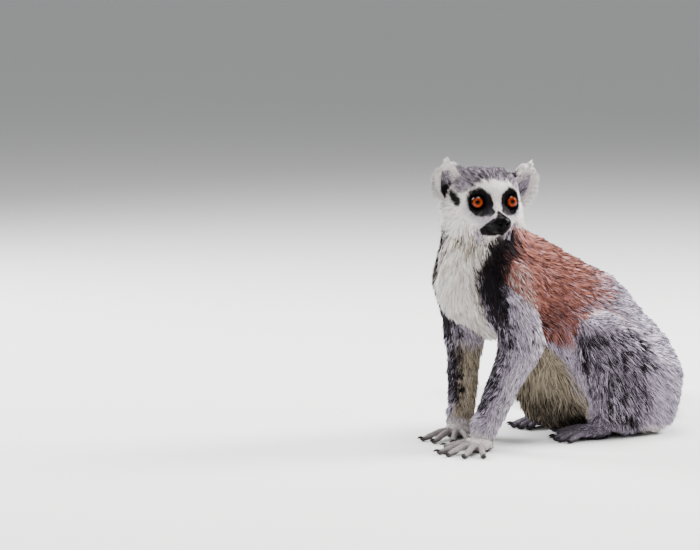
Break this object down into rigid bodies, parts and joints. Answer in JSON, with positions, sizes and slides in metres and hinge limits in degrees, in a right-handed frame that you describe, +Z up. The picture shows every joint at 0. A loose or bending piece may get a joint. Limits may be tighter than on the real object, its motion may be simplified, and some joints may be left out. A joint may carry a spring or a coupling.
{
  "type": "ring-tailed lemur",
  "caption": "Life-size ring-tailed lemur sitting on its haunches with both hands on the ground, head turned to its left, tail laid in a loop behind it.",
  "frame": {"origin": "the flat under its seat, on the ground", "axes": "+Z up; the trunk faces -Y, the animal's left is +X, and its head is turned towards +X"},
  "size_m": [0.4197, 0.4525, 0.2991],
  "materials": {
    "white_coat": "long soft off-white coat, grey speckled on the crown",
    "charcoal_coat": "dense charcoal coat over the nape and shoulders, white below the throat",
    "brown_coat": "thick speckled reddish-brown coat, cream underneath",
    "grey_coat": "grizzled grey coat with pale tips",
    "ringed_coat": "long bushy coat in black and white rings with a black tip",
    "bare_muzzle": "bare black skin with a moist nose",
    "palm_skin": "pale grey short hair over dark leathery skin",
    "eye": "wet orange iris with a small black pupil"
  },
  "bodies": {
    "root": {"head": "white_coat", "muzzle": "bare_muzzle", "eye_left": "eye", "ear_left": "white_coat", "eye_right": "eye", "ear_right": "white_coat", "hand_left": "palm_skin", "forearm_left": "grey_coat", "upper_arm_left": "grey_coat", "foot_left": "palm_skin", "shank_left": "grey_coat", "thigh_left": "grey_coat", "hand_right": "palm_skin", "forearm_right": "grey_coat", "upper_arm_right": "grey_coat", "foot_right": "palm_skin", "shank_right": "grey_coat", "thigh_right": "grey_coat", "neck": "charcoal_coat", "chest": "white_coat", "belly": "brown_coat", "rump": "grey_coat", "tail_1": "ringed_coat", "tail_2": "ringed_coat", "tail_3": "ringed_coat", "tail_4": "ringed_coat", "tail_5": "ringed_coat", "tail_6": "ringed_coat"}
  },
  "joints": []
}
